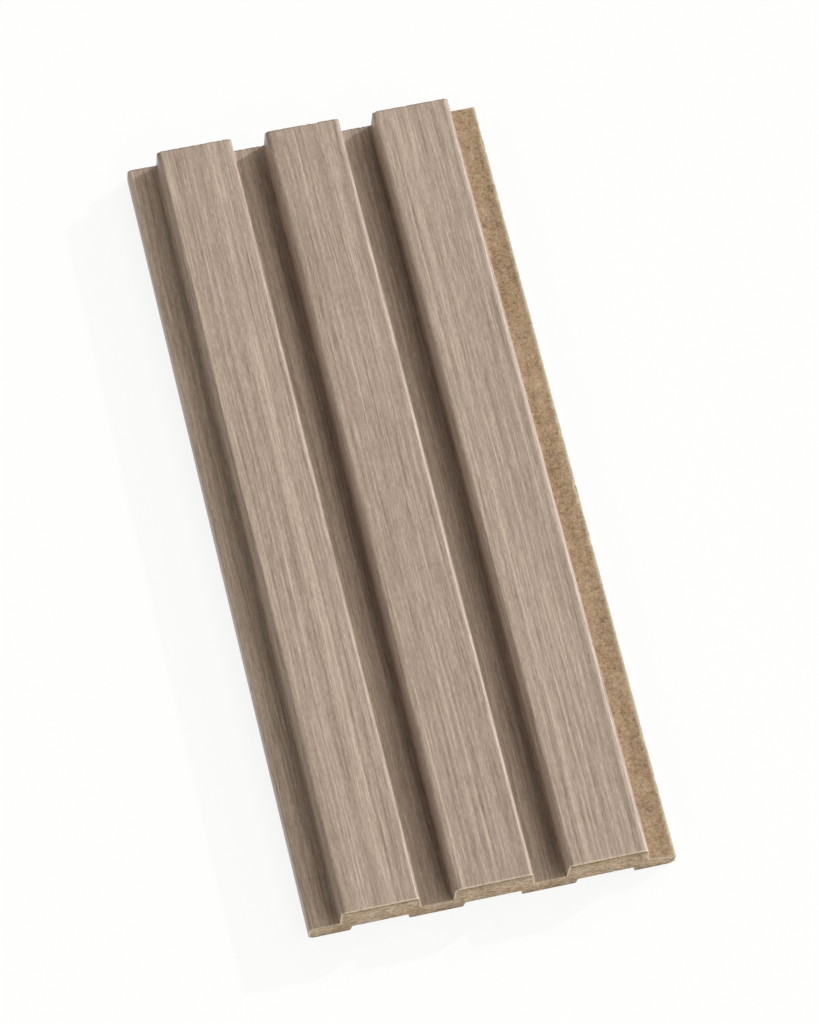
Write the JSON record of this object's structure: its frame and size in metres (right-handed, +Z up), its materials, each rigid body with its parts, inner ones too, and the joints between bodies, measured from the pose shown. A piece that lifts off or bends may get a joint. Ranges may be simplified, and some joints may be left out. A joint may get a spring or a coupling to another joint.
{
  "type": "slatted mdf wall panel",
  "caption": "Short length of slatted MDF wall panel: raised flat slats wrapped in wood-grain foil, relief grooves in the back, bare MDF tongue along one edge.",
  "frame": {"origin": "middle of the underside, on the plane of the glue lands", "axes": "+X across the slats towards the bare tongue, +Y along the slats, +Z up out of the face"},
  "size_m": [0.1212, 0.276, 0.018],
  "materials": {
    "mdf": "raw milled fibreboard, matt",
    "wood_foil": "greige oak-grain decor foil, satin"
  },
  "bodies": {
    "root": {"mdf_core": "mdf", "decor_foil": "wood_foil"}
  },
  "joints": []
}
